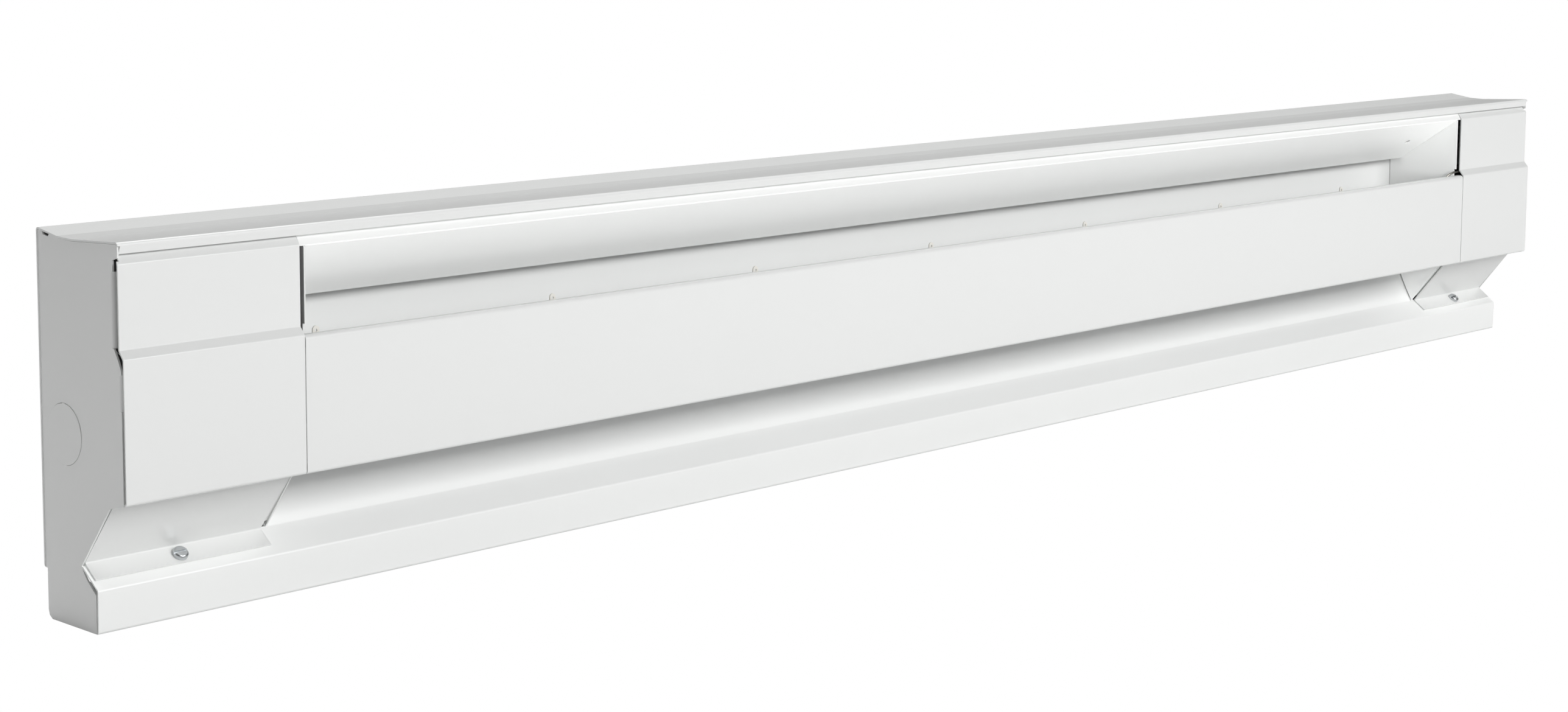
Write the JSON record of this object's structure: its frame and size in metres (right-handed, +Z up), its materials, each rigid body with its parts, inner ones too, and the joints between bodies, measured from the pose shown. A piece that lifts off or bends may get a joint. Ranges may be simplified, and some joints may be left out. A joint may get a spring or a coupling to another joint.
{
  "type": "electric baseboard heater",
  "caption": "Long low wall heater in folded white sheet steel: finned heating element behind a front panel, air slots below and above, two hinged end covers over wiring boxes.",
  "frame": {"origin": "middle of the plan at floor level", "axes": "+X along the wall, -Y faces the room and +Y the wall, +Z up"},
  "size_m": [1.2192, 0.0684, 0.1778],
  "materials": {
    "white_enamel": "satin white powder coat over cold-rolled steel",
    "zinc_plate": "bright zinc plate on steel",
    "sheath_steel": "heat-dulled drawn steel tube",
    "fin_aluminium": "mill-finish sheet",
    "seal_resin": "cast sealing resin",
    "black_nylon": "moulded nylon",
    "black_phenolic": "moulded phenolic",
    "capillary_tinned": "tinned copper tube",
    "white_nylon": "moulded nylon",
    "red_insulation": "extruded insulation",
    "black_insulation": "extruded insulation",
    "orange_plastic": "moulded ribbed cap",
    "green_enamel": "green-dyed screw head"
  },
  "bodies": {
    "casing": {"back_panel": "white_enamel", "reflector": "white_enamel", "left_end_plate": "white_enamel", "right_end_plate": "white_enamel", "left_bulkhead": "white_enamel", "right_bulkhead": "white_enamel", "air_deflector": "white_enamel", "front_panel": "white_enamel", "left_end_knockout": "white_enamel", "right_end_knockout": "white_enamel", "left_rear_knockouts": "white_enamel", "right_rear_knockouts": "white_enamel", "left_bushing": "black_nylon", "right_bushing": "black_nylon", "left_hanger": "zinc_plate", "right_hanger": "zinc_plate", "left_hanger_bush": "black_nylon", "right_hanger_bush": "black_nylon", "limit_control": "black_phenolic", "limit_screws": "zinc_plate", "limit_capillary": "capillary_tinned", "capillary_clips": "white_nylon", "through_wire": "red_insulation", "left_element_lead": "black_insulation", "limit_lead": "black_insulation", "wire_nuts": "orange_plastic", "left_ground_screw": "green_enamel", "right_ground_screw": "green_enamel"},
    "element": {"element_sheath": "sheath_steel", "left_fins": "fin_aluminium", "middle_fins": "fin_aluminium", "right_fins": "fin_aluminium", "left_terminal": "seal_resin", "right_terminal": "seal_resin", "left_lug": "zinc_plate", "right_lug": "zinc_plate"},
    "left_cover": {"left_cover": "white_enamel"},
    "left_cover_screw": {"left_cover_screw": "zinc_plate"},
    "right_cover": {"right_cover": "white_enamel"},
    "right_cover_screw": {"right_cover_screw": "zinc_plate"}
  },
  "joints": [
    {"name": "left_cover_swing", "type": "hinge", "parent": "casing", "child": "left_cover", "pos_m": [-0.56185, -0.0285, 0.173], "axis": [-1, 0, 0], "range_deg": [0, 40]},
    {"name": "right_cover_swing", "type": "hinge", "parent": "casing", "child": "right_cover", "pos_m": [0.56185, -0.0285, 0.173], "axis": [-1, 0, 0], "range_deg": [0, 40]},
    {"name": "left_screw_back_out", "type": "slide", "parent": "left_cover", "child": "left_cover_screw", "axis": [0, -0.5878, 0.809], "range_m": [0, 0.009]},
    {"name": "right_screw_back_out", "type": "slide", "parent": "right_cover", "child": "right_cover_screw", "axis": [0, -0.5878, 0.809], "range_m": [0, 0.009]},
    {"name": "element_float", "type": "slide", "parent": "casing", "child": "element", "axis": [1, 0, 0], "range_m": [-0.0015, 0.0015]}
  ]
}
